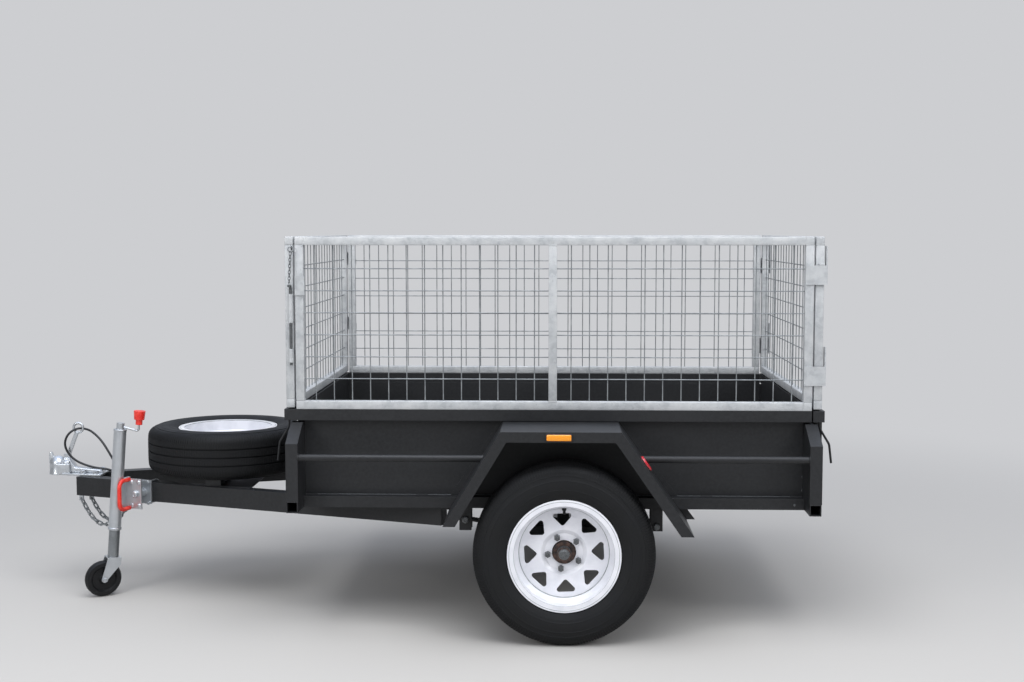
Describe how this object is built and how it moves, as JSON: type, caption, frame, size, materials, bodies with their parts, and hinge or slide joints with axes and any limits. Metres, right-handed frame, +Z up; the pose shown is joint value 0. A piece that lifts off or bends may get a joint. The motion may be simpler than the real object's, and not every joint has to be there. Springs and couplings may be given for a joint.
{
  "type": "utility trailer",
  "caption": "Single-axle box trailer with a mesh cage, spare wheel on the drawbar and a jockey wheel, for carrying loads behind a car.",
  "frame": {"origin": "centre of the trailer's outline on the ground it stands on", "axes": "-X towards the towing vehicle, +X to the rear, -Y the left side, +Z up"},
  "size_m": [3.044, 1.852, 1.406],
  "materials": {
    "charcoal_paint": "satin",
    "galvanised": "matte",
    "zinc": "satin",
    "white_paint": "gloss",
    "tyre_rubber": "matte",
    "black_rubber": "matte",
    "hub_steel": "satin",
    "amber_lens": "gloss",
    "red_lens": "gloss",
    "red_plastic": "satin",
    "black_plastic": "matte"
  },
  "bodies": {
    "frame": {"drawbar_rail_left": "charcoal_paint", "drawbar_rail_right": "charcoal_paint", "chassis_rails": "charcoal_paint", "cross_members": "charcoal_paint", "tray_floor": "charcoal_paint", "side_panel_left": "charcoal_paint", "side_panel_right": "charcoal_paint", "front_panel": "charcoal_paint", "top_rail": "charcoal_paint", "corner_posts": "charcoal_paint", "tie_rails": "charcoal_paint", "mudguard_left": "charcoal_paint", "mudguard_right": "charcoal_paint", "side_markers": "amber_lens", "side_reflectors": "red_lens", "tail_lamps": "red_lens", "axle": "charcoal_paint", "leaf_springs": "charcoal_paint", "spring_hangers": "charcoal_paint", "axle_clamps": "charcoal_paint", "spare_carrier": "charcoal_paint", "spare_tyre": "tyre_rubber", "spare_rim": "white_paint", "coupling_body": "zinc", "coupling_lever": "zinc", "tailgate_hinges": "charcoal_paint", "cage_side_left": "galvanised", "cage_side_right": "galvanised", "gate_brackets": "galvanised", "door_hinges": "galvanised", "jockey_bracket": "zinc", "chain_lugs": "zinc", "cable_gland": "black_plastic", "safety_chains": "zinc", "wiring_cable": "black_plastic", "trailer_plug": "black_plastic", "front_latches": "charcoal_paint"},
    "wheel_left": {"tyre_left": "tyre_rubber", "rim_left": "white_paint", "hub_left": "hub_steel"},
    "wheel_right": {"tyre_right": "tyre_rubber", "rim_right": "white_paint", "hub_right": "hub_steel"},
    "tailgate": {"tailgate": "charcoal_paint", "tailgate_latches": "charcoal_paint"},
    "rear_gate": {"cage_gate_rear": "galvanised"},
    "front_gate": {"cage_gate_front": "galvanised", "gate_latch": "zinc"},
    "jockey_stand": {"jockey_tube": "zinc", "jockey_crank": "zinc", "jockey_knob": "red_plastic", "jockey_clamp": "zinc", "jockey_handle": "red_plastic"},
    "jockey_leg": {"jockey_leg": "zinc"},
    "jockey_castor": {"jockey_fork": "zinc"},
    "jockey_wheel": {"jockey_wheel": "black_rubber"}
  },
  "joints": [
    {"name": "wheel_left_spin", "type": "hinge", "parent": "frame", "child": "wheel_left", "pos_m": [0.5845, -0.795, 0.316], "axis": [0, 1, 0], "continuous": true},
    {"name": "wheel_right_spin", "type": "hinge", "parent": "frame", "child": "wheel_right", "pos_m": [0.5845, 0.795, 0.316], "axis": [0, 1, 0], "continuous": true},
    {"name": "tailgate_drop", "type": "hinge", "parent": "frame", "child": "tailgate", "pos_m": [1.4985, 0, 0.47], "axis": [0, 1, 0], "range_deg": [0, 180]},
    {"name": "rear_gate_lift", "type": "slide", "parent": "frame", "child": "rear_gate", "axis": [0, 0, 1], "range_m": [0, 0.65]},
    {"name": "front_gate_swing", "type": "hinge", "parent": "frame", "child": "front_gate", "pos_m": [-0.37425, 0.669, 1.1], "axis": [0, 0, -1], "range_deg": [0, 180]},
    {"name": "jockey_swing", "type": "hinge", "parent": "frame", "child": "jockey_stand", "pos_m": [-1.0964, -0.25768, 0.4], "axis": [-0.3338, -0.9426, 0], "range_deg": [0, 90]},
    {"name": "jockey_wind", "type": "slide", "parent": "jockey_stand", "child": "jockey_leg", "axis": [0.0785, 0, 0.9969], "range_m": [-0.12, 0.085]},
    {"name": "jockey_castor_turn", "type": "hinge", "parent": "jockey_leg", "child": "jockey_castor", "pos_m": [-1.1605, -0.23498, 0.4], "axis": [0.0785, 0, 0.9969], "continuous": true},
    {"name": "jockey_wheel_spin", "type": "hinge", "parent": "jockey_castor", "child": "jockey_wheel", "pos_m": [-1.21506, -0.2535, 0.07019], "axis": [-0.543, 0.8387, 0.0427], "continuous": true}
  ]
}
